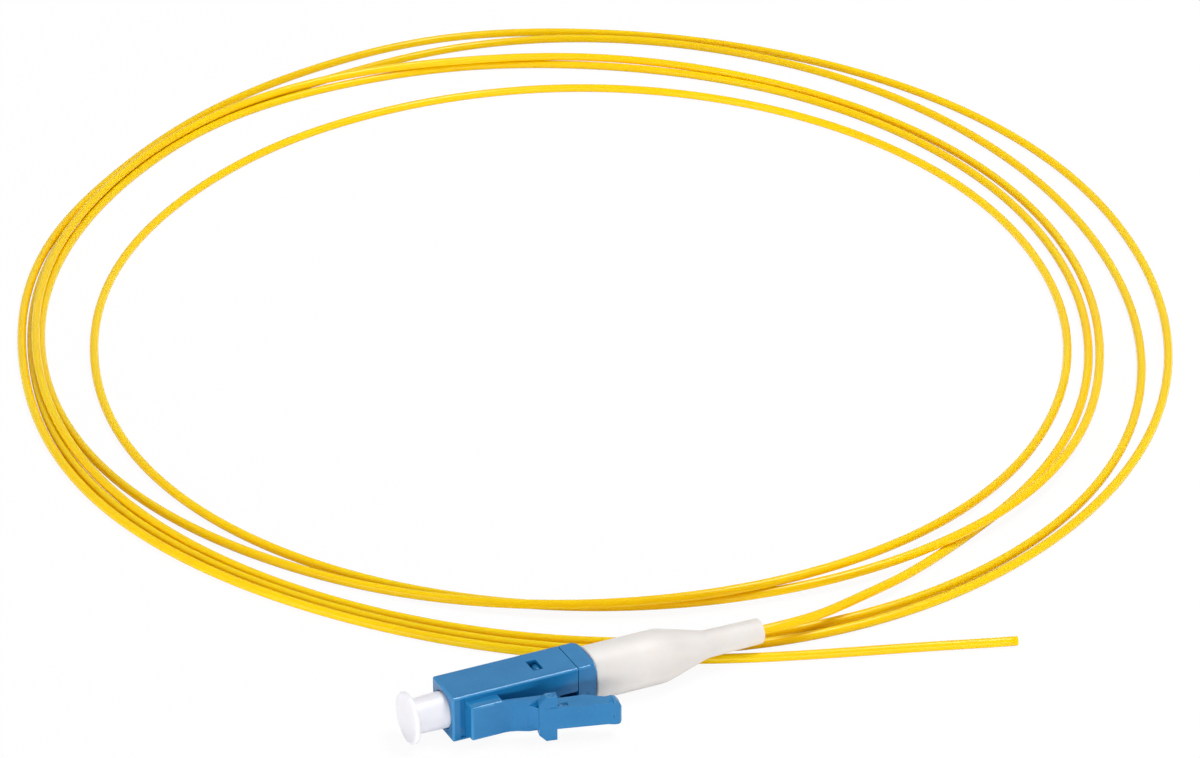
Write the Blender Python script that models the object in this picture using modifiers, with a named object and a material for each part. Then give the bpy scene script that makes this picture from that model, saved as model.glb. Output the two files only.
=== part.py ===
"""Fibre optic pigtail: a small form factor plug with its dust cap on, and a loosely coiled 0.9 mm fibre.

The plug lies on its side, as it was put down, with its latch facing -Y. X runs along the plug from its
nose to its boot, Z is up, and z = 0 is the surface that the plug and the fibre lie on. Along the plug,
places are measured from the nose's face, rearwards. The origin is below the middle of the plug's box.
"""

import math

import bmesh
import bpy
import numpy as np
from mathutils import Matrix, Vector

MM = 0.001
FACETS = 32

# Clearances between pieces
RUNNING_FIT = 0.1 * MM
SEAM = 0.06 * MM
CORD_GAP = 0.3 * MM

# Front housing
BODY_W = 4.52 * MM
BODY_LENGTH = 12.4 * MM
EDGE_ROUND = 0.22 * MM
NOSE_BORE_R = 1.8 * MM
NOSE_BORE_DEPTH = 3.2 * MM
SHOULDER_T = 1.0 * MM
SHOULDER_HOLE_R = 1.0 * MM
REAR_BORE_R = 1.8 * MM
GROOVE_X = 0.75 * MM
GROOVE_W = 0.5 * MM
GROOVE_DEPTH = 0.2 * MM
WINDOW_FROM_REAR = 3.8 * MM
WINDOW_L = 1.0 * MM
WINDOW_W = 1.6 * MM
SLOT_L = 2.0 * MM
SLOT_W = 0.6 * MM

# Latch, and the block on the housing that it grows from
ROOT_X = 1.25 * MM
ROOT_L = 3.15 * MM
ROOT_T = 1.48 * MM
PLATE_W = 3.4 * MM
PLATE_T = 0.45 * MM
PLATE_SWELL = 0.3 * MM
PLATE_TAPER = 0.1 * MM
NECK_W = 3.2 * MM
LATCH_ANGLE = math.radians(11.5)
RIB_W = 2.2 * MM
RIB_RISE = 1.26 * MM
RIB_X = 1.93 * MM
RIB_RAMP = 1.0 * MM
TAB_END = 9.65 * MM
TAB_RISE = 1.65 * MM
TAB_ROUND = 0.5 * MM
EAR_X = 3.3 * MM
EAR_L = 1.0 * MM
EAR_T = 0.8 * MM

# Back body
COLLAR_L = 1.8 * MM
COLLAR_DOME = 1.1 * MM
DOME_STEPS = 6
SPIGOT_R = REAR_BORE_R - RUNNING_FIT
SPIGOT_LEAD = 0.34 * MM
POST_R = 1.5 * MM
POST_L = 3.2 * MM
BACK_BORE_R = 1.05 * MM
SNAP_PROUD = 0.45 * MM

# Ferrule, its metal holder and the spring behind them
FERRULE_D = 1.25 * MM
FERRULE_PROUD = 1.5 * MM
FERRULE_L = 7.0 * MM
HOLDER_FLANGE_R = 1.5 * MM
HOLDER_FLANGE_L = 1.2 * MM
HOLDER_TAIL_R = 0.9 * MM
HOLDER_L = 6.8 * MM
PRESS_FIT = 0.03 * MM
SPRING_WIRE_D = 0.3 * MM
SPRING_COILS = 4
SPRING_POINTS = 12

# Dust cap
CAP_FLANGE_R = 2.44 * MM
CAP_FLANGE_T = 0.44 * MM
CAP_PROUD = 3.6 * MM
CAP_NECK_R = 1.66 * MM
CAP_NECK_IN = 2.8 * MM

# Strain relief boot
BOOT_R = 2.55 * MM
BOOT_SLEEVE_L = 7.4 * MM
BOOT_CONE_L = 4.6 * MM
BOOT_TAIL_L = 5.7 * MM
BOOT_TAIL_R = 1.3 * MM
BOOT_END_R = 1.2 * MM

# Fibre
FIBRE_D = 0.9 * MM
COIL_FROM_NOSE = (48.0 * MM, 71.0 * MM)
TUBE_STEP = 24.0
TUBE_FIRST = 264.0

# Places along the plug that follow from the sizes above
ROOT_END = ROOT_X + ROOT_L
SHOULDER_X = NOSE_BORE_DEPTH + SHOULDER_T
WINDOW_X = BODY_LENGTH - WINDOW_FROM_REAR
COLLAR_X = BODY_LENGTH + SEAM
COLLAR_END = COLLAR_X + COLLAR_L
BOOT_X = COLLAR_END + SEAM
BOOT_END = BOOT_X + BOOT_SLEEVE_L + BOOT_CONE_L + BOOT_TAIL_L
SPIGOT_X = WINDOW_X - SPIGOT_LEAD
HOLDER_X = SHOULDER_X + RUNNING_FIT
HOLDER_TAIL_X = HOLDER_X + HOLDER_FLANGE_L
HINGE_R = PLATE_T / 2
HINGE_X = ROOT_END + RUNNING_FIT + HINGE_R
HINGE_Y = -(BODY_W / 2 + ROOT_T - HINGE_R)

# The plug rests on its widest round piece, and the origin is below the middle of its box
AXIS_Z = max(BOOT_R, CAP_FLANGE_R, BODY_W / 2)
PLUG_MIDDLE_X = (BOOT_END - CAP_PROUD) / 2

# The fibre's route, chosen by hand: bearings in degrees about the middle of the coil, and for each
# turn the distance from there and the height above the surface it lies on, in millimetres. The first
# turn leaves the boot and comes down over the outer turns, and the last one passes under the boot's tail.
ROUTE_START = (
    (257.4, 72.8, 2.1),
    (259.3, 72.2, 2.05),
    (262.3, 70.9, 1.75),
    (266.1, 68.7, 1.3),
    (271.7, 65.75, 0.6),
    (278.9, 62.5, 0.05),
)
BEARINGS = (258, 288, 318, 348, 378, 408, 426, 438, 450, 464, 480, 498, 528, 558, 588)
TURN_RADII = (
    (59.9, 54.0, 52.5, 55.8, 61.3, 63.8, 64.8, 64.6, 63.6, 60.75, 58.3, 57.6, 60.3, 62.8),
    (63.45, 57.1, 51.75, 50.1, 52.3, 56.0, 57.05, 56.6, 55.5, 54.0, 52.3, 51.4, 52.3, 56.95, 61.7),
    (63.4, 61.3, 55.2, 53.9, 57.3, 62.1, 64.2, 64.6, 65.05, 64.15, 61.3, 58.85, 58.2, 62.2, 66.9),
    (70.0, 65.8, 59.6, 57.6, 61.8, 69.3, 71.6, 70.3, 67.2, 64.75, 61.8, 59.45, 58.65, 63.1, 68.0),
    (71.6, 67.2, 62.2, 61.3, 65.65, 71.2, 73.5, 73.6, 70.8, 66.9, 62.8, 60.5, 59.65, 64.15, 69.1),
)
THIRD_TURN_LIFT = (0.35, 1.2, 0.9, 0.1, 0.1, 0.55, 0.85, 0.93, 0.9, 0.8, 0.8, 0.8, 0.85, 0.35, 0)
ROUTE_END = (
    (238.0, 70.9, 0),
    (256.4, 73.9, 0),
    (263.5, 75.4, 0),
    (270.0, 77.7, 0),
    (274.6, 80.1, 0),
)
HUMP_BEARING = 621.0
HUMP_HALF_WIDTH = 40.0
HUMP_LIFT = 1.3 * MM


def clear_scene():
    for obj in list(bpy.data.objects):
        bpy.data.objects.remove(obj, do_unlink=True)


def new_collection(name, hidden=False):
    collection = bpy.data.collections.new(name)
    bpy.context.scene.collection.children.link(collection)
    collection.hide_render = hidden
    return collection


def material(name, colour, roughness, metallic=0.0):
    made = bpy.data.materials.new(name)
    made.use_nodes = True
    shader = made.node_tree.nodes["Principled BSDF"]
    shader.inputs["Base Color"].default_value = (*colour, 1.0)
    shader.inputs["Roughness"].default_value = roughness
    shader.inputs["Metallic"].default_value = metallic
    return made


def add_object(name, data, collection, parent=None):
    obj = bpy.data.objects.new(name, data)
    collection.objects.link(obj)
    obj.parent = parent
    return obj


def add_part(name, data, finish, parent):
    part = add_object(name, data, parts, parent)
    part.data.materials.append(finish)
    return part


def add_cutter(name, data, parent):
    cutter = add_object(name, data, cutters, parent)
    cutter.hide_render = True
    cutter.display_type = "WIRE"
    return cutter


def box_mesh(name, low, high):
    """A box between two corners."""
    low = Vector(low)
    high = Vector(high)
    size = high - low
    mesh = bpy.data.meshes.new(name)
    shape = bmesh.new()
    place = Matrix.Translation((low + high) / 2) @ Matrix.Diagonal((*size, 1.0))
    bmesh.ops.create_cube(shape, size=1.0, matrix=place)
    shape.to_mesh(mesh)
    shape.free()
    return mesh


def round_mesh(name, radius, start, end):
    """A cylinder along X between two places."""
    mesh = bpy.data.meshes.new(name)
    shape = bmesh.new()
    place = Matrix.Translation(((start + end) / 2, 0, 0)) @ Matrix.Rotation(math.pi / 2, 4, "Y")
    bmesh.ops.create_cone(
        shape,
        cap_ends=True,
        segments=FACETS,
        radius1=radius,
        radius2=radius,
        depth=end - start,
        matrix=place,
    )
    shape.to_mesh(mesh)
    shape.free()
    return mesh


def turned_mesh(name, profile):
    """A profile of (place along the plug, radius) turned about X with a Screw modifier.

    The profile is a closed ring of points, outer side first, from the rear to the front.
    """
    mesh = bpy.data.meshes.new(name + "_profile")
    shape = bmesh.new()
    points = [shape.verts.new((radius, 0, x)) for x, radius in profile]
    for first, second in zip(points, points[1:] + points[:1]):
        shape.edges.new((first, second))
    shape.to_mesh(mesh)
    shape.free()
    guide = add_cutter(name + "_profile", mesh, None)
    screw = guide.modifiers.new("Turn", "SCREW")
    screw.axis = "Z"
    screw.steps = FACETS
    screw.render_steps = FACETS
    screw.use_merge_vertices = True
    screw.merge_threshold = 0.5e-6
    turned = baked(guide, name)
    turned.transform(Matrix.Rotation(math.pi / 2, 4, "Y"))
    return turned


def outline_mesh(name, outline, bottom, top, turn=None):
    """A flat outline of (x, y) points, filled and given its thickness from bottom to top along Z."""
    curve = bpy.data.curves.new(name, "CURVE")
    curve.dimensions = "2D"
    curve.fill_mode = "BOTH"
    curve.extrude = (top - bottom) / 2
    spline = curve.splines.new("POLY")
    spline.points.add(len(outline) - 1)
    for point, (x, y) in zip(spline.points, outline):
        point.co = (x, y, 0, 1)
    spline.use_cyclic_u = True
    guide = add_cutter(name + "_outline", curve, None)
    made = baked(guide, name)
    made.transform(Matrix.Translation((0, 0, (top + bottom) / 2)))
    if turn is not None:
        made.transform(turn)
    return made


def baked(guide, name):
    """The guide's evaluated shape as a clean closed mesh. The guide is removed."""
    bpy.context.view_layer.update()
    evaluated = guide.evaluated_get(bpy.context.evaluated_depsgraph_get())
    mesh = bpy.data.meshes.new_from_object(evaluated)
    mesh.name = name
    shape = bmesh.new()
    shape.from_mesh(mesh)
    bmesh.ops.remove_doubles(shape, verts=shape.verts, dist=1e-7)
    bmesh.ops.recalc_face_normals(shape, faces=shape.faces)
    shape.to_mesh(mesh)
    shape.free()
    bpy.data.objects.remove(guide, do_unlink=True)
    return mesh


def combine(part, operation, cutter):
    modifier = part.modifiers.new(cutter.name, "BOOLEAN")
    modifier.operation = operation
    modifier.object = cutter
    modifier.solver = "EXACT"


def round_edges(part, width, segments=2):
    modifier = part.modifiers.new("Rounded edges", "BEVEL")
    modifier.width = width
    modifier.segments = segments
    modifier.limit_method = "ANGLE"
    modifier.angle_limit = math.radians(40)


def shade_round(mesh):
    mesh.shade_smooth()
    mesh.set_sharp_from_angle(angle=math.radians(35))


def front_housing(plug):
    """The square blue body, open along its middle, with the block that the latch grows from."""
    half = BODY_W / 2
    housing = add_part(
        "front_housing",
        box_mesh("front_housing", (0, -half, -half), (BODY_LENGTH, half, half)),
        blue,
        plug,
    )
    round_edges(housing, EDGE_ROUND)
    root = box_mesh(
        "latch_root",
        (ROOT_X, -half - ROOT_T, -PLATE_W / 2),
        (ROOT_END, -half + GROOVE_DEPTH * 2, PLATE_W / 2),
    )
    combine(housing, "UNION", add_cutter("latch_root", root, plug))
    cuts = {
        "nose_bore": round_mesh("nose_bore", NOSE_BORE_R, -MM, NOSE_BORE_DEPTH),
        "shoulder_hole": round_mesh("shoulder_hole", SHOULDER_HOLE_R, MM, SHOULDER_X + MM),
        "rear_bore": round_mesh("rear_bore", REAR_BORE_R, SHOULDER_X, BODY_LENGTH + MM),
        "groove": box_mesh(
            "groove",
            (GROOVE_X, -BODY_W, -BODY_W),
            (GROOVE_X + GROOVE_W, -half + GROOVE_DEPTH, BODY_W),
        ),
        "windows": box_mesh(
            "windows",
            (WINDOW_X, -WINDOW_W / 2, -BODY_W),
            (WINDOW_X + WINDOW_L, WINDOW_W / 2, BODY_W),
        ),
        "rear_slot": box_mesh(
            "rear_slot",
            (BODY_LENGTH - SLOT_L, -BODY_W, -SLOT_W / 2),
            (BODY_LENGTH + MM, 0, SLOT_W / 2),
        ),
    }
    for name, mesh in cuts.items():
        combine(housing, "DIFFERENCE", add_cutter(name, mesh, plug))
    return housing


def latch(hinge):
    """The spring arm with its raised rib, two ears and thumb tab. Its origin is on its bending line.

    Its side is drawn with the arm along X, and then turned out by LATCH_ANGLE.
    """
    slant = Matrix.Rotation(-LATCH_ANGLE, 4, "Z")
    inner = HINGE_R - PLATE_TAPER
    swollen = -HINGE_R - PLATE_SWELL
    arc = [math.radians(angle) for angle in range(90, 271, 30)]
    plate_side = [(HINGE_R * math.cos(angle), HINGE_R * math.sin(angle)) for angle in arc]
    plate_side += [(RIB_X, swollen), (EAR_X + EAR_L, swollen), (EAR_X + EAR_L, inner), (EAR_X, inner)]
    plate = outline_mesh("latch", plate_side, -NECK_W / 2, NECK_W / 2, slant)
    part = add_part("latch", plate, blue, hinge)

    rib_side = [
        (RIB_X, inner),
        (RIB_X, swollen),
        (RIB_X + RIB_RAMP, -HINGE_R - RIB_RISE),
        (TAB_END - TAB_ROUND, -HINGE_R - TAB_RISE),
        (TAB_END - TAB_ROUND / 4, -HINGE_R - TAB_RISE + TAB_ROUND / 4),
        (TAB_END, -HINGE_R - TAB_RISE + TAB_ROUND),
        (TAB_END, inner),
    ]
    rib = outline_mesh("rib_and_tab", rib_side, -RIB_W / 2, RIB_W / 2, slant)
    combine(part, "UNION", add_cutter("rib_and_tab", rib, hinge))

    step = (BODY_W - NECK_W) / 2
    ear_plan = [
        (EAR_X + EAR_L, -BODY_W / 2),
        (EAR_X + EAR_L, BODY_W / 2),
        (EAR_X, BODY_W / 2),
        (EAR_X - step, NECK_W / 2),
        (EAR_X - step, -NECK_W / 2),
        (EAR_X, -BODY_W / 2),
    ]
    upright = slant @ Matrix.Rotation(math.pi / 2, 4, "X")
    ears = outline_mesh("ears", ear_plan, HINGE_R + RIB_RISE - EAR_T, HINGE_R + RIB_RISE, upright)
    combine(part, "UNION", add_cutter("ears", ears, hinge))
    return part


def back_body(plug):
    """The blue piece that closes the housing: a square collar, a spigot with two snap tabs, and a post."""
    half = BODY_W / 2
    corner = half * math.sqrt(2)
    part = add_part(
        "back_body",
        box_mesh("back_body", (COLLAR_X, -half, -half), (COLLAR_END, half, half)),
        blue,
        plug,
    )
    dome = [(COLLAR_END + MM, BOOT_R)]
    for step in range(DOME_STEPS + 1):
        angle = step * math.pi / 2 / DOME_STEPS
        x = COLLAR_END - COLLAR_DOME * (1 - math.cos(angle))
        dome.append((x, BOOT_R + (corner - BOOT_R) * math.sin(angle)))
    dome += [(COLLAR_X - MM, corner), (COLLAR_X - MM, 0), (COLLAR_END + MM, 0)]
    combine(part, "INTERSECT", add_cutter("collar_dome", turned_mesh("collar_dome", dome), plug))
    combine(
        part,
        "UNION",
        add_cutter("spigot", round_mesh("spigot", SPIGOT_R, SPIGOT_X, COLLAR_X + COLLAR_L / 2), plug),
    )
    combine(
        part,
        "UNION",
        add_cutter("post", round_mesh("post", POST_R, COLLAR_X + COLLAR_L / 2, COLLAR_END + POST_L), plug),
    )
    reach = SPIGOT_R + SNAP_PROUD
    tabs = box_mesh(
        "snap_tabs",
        (WINDOW_X + RUNNING_FIT, -WINDOW_W / 2 + RUNNING_FIT, -reach),
        (WINDOW_X + WINDOW_L - RUNNING_FIT, WINDOW_W / 2 - RUNNING_FIT, reach),
    )
    combine(part, "UNION", add_cutter("snap_tabs", tabs, plug))
    bore = round_mesh("back_bore", BACK_BORE_R, SPIGOT_X - MM, COLLAR_END + POST_L + MM)
    combine(part, "DIFFERENCE", add_cutter("back_bore", bore, plug))
    return part


def ferrule(plug):
    """The white ceramic ferrule that holds the fibre's end."""
    mesh = round_mesh("ferrule", FERRULE_D / 2, -FERRULE_PROUD, FERRULE_L - FERRULE_PROUD)
    shade_round(mesh)
    return add_part("ferrule", mesh, ceramic, plug)


def ferrule_holder(plug):
    """The turned metal holder that the ferrule is pressed into. Its flange bears on the housing's shoulder."""
    seat_r = FERRULE_D / 2 + PRESS_FIT
    seat_end = FERRULE_L - FERRULE_PROUD + PRESS_FIT
    fibre_r = FIBRE_D / 2 + PRESS_FIT
    rear = HOLDER_X + HOLDER_L
    profile = [
        (rear, HOLDER_TAIL_R),
        (HOLDER_TAIL_X, HOLDER_TAIL_R),
        (HOLDER_TAIL_X, HOLDER_FLANGE_R),
        (HOLDER_X, HOLDER_FLANGE_R),
        (HOLDER_X, seat_r),
        (seat_end, seat_r),
        (seat_end, fibre_r),
        (rear, fibre_r),
    ]
    mesh = turned_mesh("ferrule_holder", profile)
    shade_round(mesh)
    return add_part("ferrule_holder", mesh, brass, plug)


def spring(plug):
    """The coil spring between the holder's flange and the back body."""
    wire_r = SPRING_WIRE_D / 2
    coil_r = (HOLDER_TAIL_R + REAR_BORE_R) / 2
    start = HOLDER_TAIL_X + wire_r + RUNNING_FIT
    length = SPIGOT_X - RUNNING_FIT - wire_r - start
    steps = SPRING_COILS * SPRING_POINTS
    points = []
    for step in range(steps + 1):
        angle = 2 * math.pi * step / SPRING_POINTS
        points.append((start + length * step / steps, coil_r * math.cos(angle), coil_r * math.sin(angle)))
    return add_part("spring", tube_mesh("spring", points, wire_r), steel, plug)


def tube_mesh(name, points, radius):
    """A round tube along points, with filled ends."""
    curve = bpy.data.curves.new(name, "CURVE")
    curve.dimensions = "3D"
    curve.bevel_depth = radius
    curve.bevel_resolution = 2
    curve.use_fill_caps = True
    spline = curve.splines.new("POLY")
    spline.points.add(len(points) - 1)
    for point, place in zip(spline.points, points):
        point.co = (*place, 1)
    mesh = baked(add_cutter(name + "_path", curve, None), name)
    shade_round(mesh)
    return mesh


def dust_cap(plug):
    """The white cap pulled over the ferrule: a round flange on a hollow neck that enters the nose."""
    bore_r = FERRULE_D / 2 + RUNNING_FIT
    front = -CAP_PROUD
    profile = [
        (CAP_NECK_IN, CAP_NECK_R),
        (front + CAP_FLANGE_T, CAP_NECK_R),
        (front + CAP_FLANGE_T, CAP_FLANGE_R),
        (front, CAP_FLANGE_R),
        (front, 0),
        (-FERRULE_PROUD - CORD_GAP, 0),
        (-FERRULE_PROUD - CORD_GAP, bore_r),
        (CAP_NECK_IN, bore_r),
    ]
    mesh = turned_mesh("dust_cap", profile)
    shade_round(mesh)
    return add_part("dust_cap", mesh, cap_white, plug)


def boot(plug):
    """The soft white strain relief: a sleeve over the back body's post, a cone and a thin tail."""
    sleeve_end = BOOT_X + BOOT_SLEEVE_L
    cone_end = sleeve_end + BOOT_CONE_L
    socket_r = POST_R + RUNNING_FIT
    socket_end = COLLAR_END + POST_L + RUNNING_FIT
    fibre_r = FIBRE_D / 2 + RUNNING_FIT
    profile = [
        (BOOT_END, BOOT_END_R),
        (cone_end, BOOT_TAIL_R),
        (sleeve_end, BOOT_R),
        (BOOT_X, BOOT_R),
        (BOOT_X, socket_r),
        (socket_end, socket_r),
        (socket_end, fibre_r),
        (BOOT_END, fibre_r),
    ]
    mesh = turned_mesh("boot", profile)
    shade_round(mesh)
    return add_part("boot", mesh, boot_white, plug)


def route_points():
    """Every point of the fibre's route as (bearing, distance, height), in degrees and metres."""
    flat = (0,) * len(BEARINGS)
    lifts = (flat[1:], flat, THIRD_TURN_LIFT, flat, flat)
    points = list(ROUTE_START)
    for turn, (radii, heights) in enumerate(zip(TURN_RADII, lifts)):
        bearings = BEARINGS[len(BEARINGS) - len(radii):]
        points += [(b + 360 * turn, r, h) for b, r, h in zip(bearings, radii, heights)]
    points += [(b + 360 * len(TURN_RADII), r, h) for b, r, h in ROUTE_END]
    return [(bearing, radius * MM, height * MM) for bearing, radius, height in points]


def smooth(places, values, wanted):
    """A cubic curve with no bend at its ends, through values at places, read at the wanted places."""
    places = np.array(places)
    values = np.array(values)
    gaps = np.diff(places)
    slopes = np.diff(values) / gaps
    rows = np.eye(len(places))
    right = np.zeros(len(places))
    for i in range(1, len(places) - 1):
        rows[i, i - 1:i + 2] = gaps[i - 1], 2 * (gaps[i - 1] + gaps[i]), gaps[i]
        right[i] = 6 * (slopes[i] - slopes[i - 1])
    bends = np.linalg.solve(rows, right)
    i = np.clip(np.searchsorted(places, wanted) - 1, 0, len(gaps) - 1)
    after = wanted - places[i]
    before = places[i + 1] - wanted
    curved = (bends[i] * before**3 + bends[i + 1] * after**3) / (6 * gaps[i])
    first = (values[i] / gaps[i] - bends[i] * gaps[i] / 6) * before
    second = (values[i + 1] / gaps[i] - bends[i + 1] * gaps[i] / 6) * after
    return curved + first + second


def fibre_places(bearings):
    """Points of the fibre's centre line at these bearings, measured from the nose along the plug."""
    bearings = np.array(bearings)
    own, radii, heights = zip(*route_points())
    radius = smooth(own, radii, bearings)
    height = np.maximum(smooth(own, heights, bearings), 0)
    away = np.minimum(np.abs(bearings - HUMP_BEARING) / HUMP_HALF_WIDTH, 1)
    height += HUMP_LIFT * (1 + np.cos(math.pi * away)) / 2
    angle = np.radians(bearings)
    x = COIL_FROM_NOSE[0] + radius * np.cos(angle)
    y = COIL_FROM_NOSE[1] + radius * np.sin(angle)
    return np.stack([x, y, height + FIBRE_D / 2 - AXIS_Z], axis=1)


def fibre(plug):
    """The 0.9 mm yellow fibre in five loose turns, from the boot's tail to its cut end."""
    own = [point[0] for point in route_points()]
    steps = np.arange(TUBE_FIRST, own[-1] - TUBE_STEP / 8, TUBE_STEP)
    bearings = [own[1], *steps, own[-1]]
    points = [(BOOT_END + CORD_GAP, 0, 0), *fibre_places(bearings)]
    return add_part("fibre", tube_mesh("fibre", points, FIBRE_D / 2), yellow, plug)


clear_scene()
bpy.context.scene.unit_settings.system = "METRIC"
parts = new_collection("Fibre optic pigtail")
cutters = new_collection("Cutters", hidden=True)

blue = material("Blue moulding", (0.055, 0.235, 0.53), 0.35)
cap_white = material("White cap", (0.86, 0.86, 0.88), 0.4)
boot_white = material("Soft white boot", (0.82, 0.80, 0.79), 0.55)
yellow = material("Yellow buffer", (0.95, 0.60, 0.01), 0.4)
ceramic = material("White ceramic", (0.9, 0.9, 0.88), 0.15)
brass = material("Nickelled brass", (0.72, 0.70, 0.64), 0.3, 1.0)
steel = material("Spring steel", (0.62, 0.62, 0.64), 0.3, 1.0)

# The latch stands furthest out at the outer corner of its tab
TAB_CORNER = Matrix.Rotation(-LATCH_ANGLE, 2) @ Vector((TAB_END - TAB_ROUND, -HINGE_R - TAB_RISE))
LATCH_REACH = -(HINGE_Y + TAB_CORNER.y)
AXIS_Y = (LATCH_REACH - AXIS_Z) / 2

plug_axis = add_object("plug_axis", None, parts)
plug_axis.location = (-PLUG_MIDDLE_X, AXIS_Y, AXIS_Z)
latch_hinge = add_object("latch_hinge", None, parts, plug_axis)
latch_hinge.location = (HINGE_X, HINGE_Y, 0)

front_housing(plug_axis)
latch(latch_hinge)
back_body(plug_axis)
ferrule(plug_axis)
ferrule_holder(plug_axis)
spring(plug_axis)
dust_cap(plug_axis)
boot(plug_axis)
fibre(plug_axis)
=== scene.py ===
"""Looks for the fibre optic pigtail: the camera, the coiled fibre, the dressed plug, its floor and lights.

Everything is in the part's own frame, in metres. X runs along the plug from its nose to its boot, and
z = 0 is the surface that the plug and the fibre lie on.
"""

import math

import bmesh
import bpy
import numpy as np
from mathutils import Matrix, Vector


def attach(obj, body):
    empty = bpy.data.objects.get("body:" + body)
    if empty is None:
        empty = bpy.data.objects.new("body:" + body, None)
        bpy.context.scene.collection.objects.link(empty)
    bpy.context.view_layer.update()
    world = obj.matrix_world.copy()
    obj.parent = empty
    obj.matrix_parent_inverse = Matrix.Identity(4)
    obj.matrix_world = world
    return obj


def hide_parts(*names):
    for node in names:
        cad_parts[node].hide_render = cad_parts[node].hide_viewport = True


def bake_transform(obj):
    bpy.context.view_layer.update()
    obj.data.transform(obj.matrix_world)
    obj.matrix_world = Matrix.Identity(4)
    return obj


MM = 0.001

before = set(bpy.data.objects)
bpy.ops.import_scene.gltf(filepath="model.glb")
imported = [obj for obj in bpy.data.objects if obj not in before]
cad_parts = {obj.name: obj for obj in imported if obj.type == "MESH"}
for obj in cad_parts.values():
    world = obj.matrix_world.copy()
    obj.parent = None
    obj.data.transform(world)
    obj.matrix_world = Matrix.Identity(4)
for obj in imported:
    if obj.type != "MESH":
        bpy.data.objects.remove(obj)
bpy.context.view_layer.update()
scene = bpy.context.scene

# Camera
#
# Fitted to the photograph's plug corners and to the fibre's width. It looks down at the coil from
# the plug's latch side.

AIM = Vector((28.42, 58.513, 0)) * MM
AZIMUTH = math.radians(25.633)
ELEVATION = math.radians(27.5)
DISTANCE = 484.378 * MM
LENS = 141.0
SENSOR_WIDTH = 36.0

back = Vector((
    -math.sin(AZIMUTH) * math.cos(ELEVATION),
    -math.cos(AZIMUTH) * math.cos(ELEVATION),
    math.sin(ELEVATION),
))
camera = bpy.data.objects.new("camera", bpy.data.cameras.new("camera"))
camera.data.lens = LENS
camera.data.sensor_width = SENSOR_WIDTH
camera.data.clip_start = 0.01
camera.data.clip_end = 10.0
camera.location = AIM + back * DISTANCE
camera.rotation_mode = "QUATERNION"
camera.rotation_quaternion = (-back).to_track_quat("-Z", "Y")
scene.collection.objects.link(camera)
scene.camera = camera
scene.view_settings.view_transform = "Standard"

# Fibre
#
# One smooth route in five loose turns, the same one that the part's own solid follows. Bearings are in
# degrees about the middle of the coil. Distances from there and lifts above the floor are in millimetres.

FIBRE_D = 0.9 * MM
COIL = Vector((33.79, 73.313, 0)) * MM
BOOT_EXIT = Vector((17.81, 2.313, 2.55)) * MM
ROUTE_START = (
    (257.4, 72.8, 2.1),
    (259.3, 72.2, 2.05),
    (262.3, 70.9, 1.75),
    (266.1, 68.7, 1.3),
    (271.7, 65.75, 0.6),
    (278.9, 62.5, 0.05),
)
BEARINGS = (258, 288, 318, 348, 378, 408, 426, 438, 450, 464, 480, 498, 528, 558, 588)
TURN_RADII = (
    (59.9, 54.0, 52.5, 55.8, 61.3, 63.8, 64.8, 64.6, 63.6, 60.75, 58.3, 57.6, 60.3, 62.8),
    (63.45, 57.1, 51.75, 50.1, 52.3, 56.0, 57.05, 56.6, 55.5, 54.0, 52.3, 51.4, 52.3, 56.95, 61.7),
    (63.4, 61.3, 55.2, 53.9, 57.3, 62.1, 64.2, 64.6, 65.05, 64.15, 61.3, 58.85, 58.2, 62.2, 66.9),
    (70.0, 65.8, 59.6, 57.6, 61.8, 69.3, 71.6, 70.3, 67.2, 64.75, 61.8, 59.45, 58.65, 63.1, 68.0),
    (71.6, 67.2, 62.2, 61.3, 65.65, 71.2, 73.5, 73.6, 70.8, 66.9, 62.8, 60.5, 59.65, 64.15, 69.1),
)
THIRD_TURN_LIFT = (0.35, 1.2, 0.9, 0.1, 0.1, 0.55, 0.85, 0.93, 0.9, 0.8, 0.8, 0.8, 0.85, 0.35, 0)
ROUTE_END = (
    (238.0, 70.9, 0),
    (256.4, 73.9, 0),
    (263.5, 75.4, 0),
    (270.0, 77.7, 0),
    (274.6, 80.1, 0),
)
HUMP_BEARING = 621.0
HUMP_HALF_WIDTH = 40.0
HUMP_LIFT = 1.3 * MM
FIBRE_STEP = 1.2 * MM
FIBRE_SIDES = 20
ROUTE_SAMPLES = 2400
FIBRE_IN_BOOT = 3.0 * MM
CUT_EASE = 0.03 * MM
CORE_D = 0.25 * MM
CORE_SIDES = 16
CORE_PROUD = 0.05 * MM


def route_points():
    """Every point of the route as (bearing, distance, lift), in degrees and metres."""
    flat = (0,) * len(BEARINGS)
    lifts = (flat[1:], flat, THIRD_TURN_LIFT, flat, flat)
    points = list(ROUTE_START)
    for turn, (radii, heights) in enumerate(zip(TURN_RADII, lifts)):
        bearings = BEARINGS[len(BEARINGS) - len(radii):]
        points += [(b + 360 * turn, r, h) for b, r, h in zip(bearings, radii, heights)]
    points += [(b + 360 * len(TURN_RADII), r, h) for b, r, h in ROUTE_END]
    return [(bearing, radius * MM, height * MM) for bearing, radius, height in points]


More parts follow.
